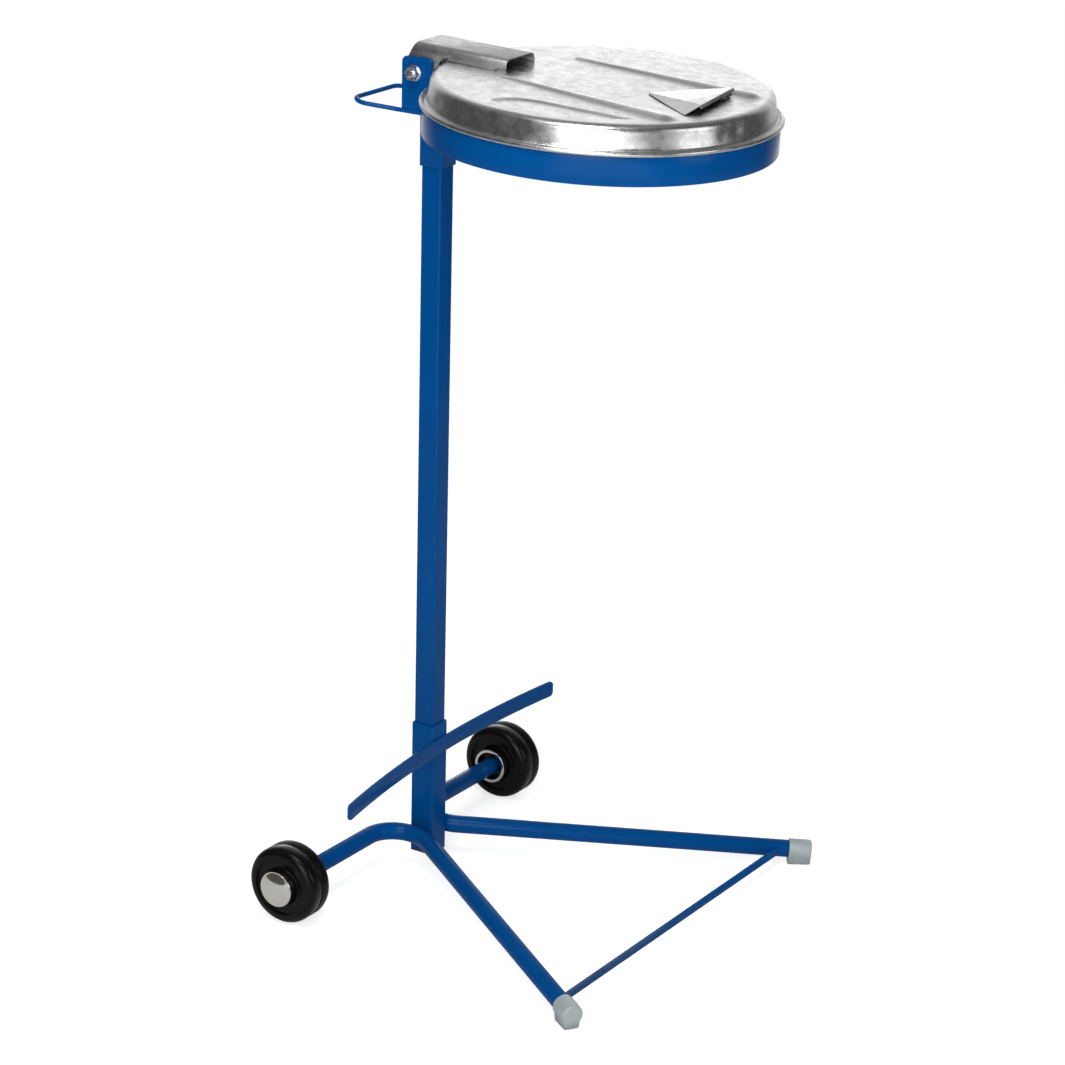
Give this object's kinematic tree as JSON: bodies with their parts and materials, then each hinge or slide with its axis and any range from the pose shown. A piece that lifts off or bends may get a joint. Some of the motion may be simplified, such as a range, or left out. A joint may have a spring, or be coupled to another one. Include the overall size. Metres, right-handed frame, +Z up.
{
  "type": "wheeled sack holder",
  "caption": "Wheeled stand that holds a refuse sack from a hoop under a hinged pressed steel lid, on a bent tube base with wheels and plastic feet.",
  "frame": {"origin": "on the floor, at the middle of the holder's length and width", "axes": "+X forward over the hoop and the feet, +Y to the holder's left, +Z up"},
  "size_m": [0.5708, 0.6312, 1.1384],
  "materials": {
    "blue_paint": "glossy powder coat",
    "galvanised_sheet": "galvanised, satin",
    "zinc_steel": "bright zinc plated",
    "chrome": "polished",
    "black_rubber": "satin",
    "black_plastic": "matte",
    "grey_plastic": "matte"
  },
  "bodies": {
    "frame": {"base_sleeve": "blue_paint", "sleeve_plug": "black_plastic", "column": "blue_paint", "top_sleeve": "blue_paint", "column_screws": "zinc_steel", "base_tube_left": "blue_paint", "base_tube_right": "blue_paint", "foot_cap_left": "grey_plastic", "foot_cap_right": "grey_plastic", "cross_brace": "blue_paint", "sack_guard": "blue_paint", "axle_left": "zinc_steel", "axle_right": "zinc_steel", "axle_clips": "zinc_steel", "hinge_bracket": "blue_paint", "hinge_bolt": "zinc_steel", "hinge_nut": "zinc_steel", "hinge_washers": "zinc_steel", "holding_ring": "blue_paint", "carry_handle": "blue_paint"},
    "lid": {"lid": "galvanised_sheet", "hinge_arm": "galvanised_sheet", "lid_grip": "galvanised_sheet"},
    "wheel_left": {"wheel_left": "black_rubber", "hub_cap_left": "chrome", "hub_ring_left": "chrome"},
    "wheel_right": {"wheel_right": "black_rubber", "hub_cap_right": "chrome", "hub_ring_right": "chrome"}
  },
  "joints": [
    {"name": "lid_hinge", "type": "hinge", "parent": "frame", "child": "lid", "pos_m": [-0.1966, 0, 1.0998], "axis": [0, -1, 0], "range_deg": [0, 105]},
    {"name": "wheel_left_spin", "type": "hinge", "parent": "frame", "child": "wheel_left", "pos_m": [-0.2296, 0.2536, 0.0525], "axis": [0, 1, 0], "continuous": true},
    {"name": "wheel_right_spin", "type": "hinge", "parent": "frame", "child": "wheel_right", "pos_m": [-0.2296, -0.2536, 0.0525], "axis": [0, 1, 0], "continuous": true}
  ]
}
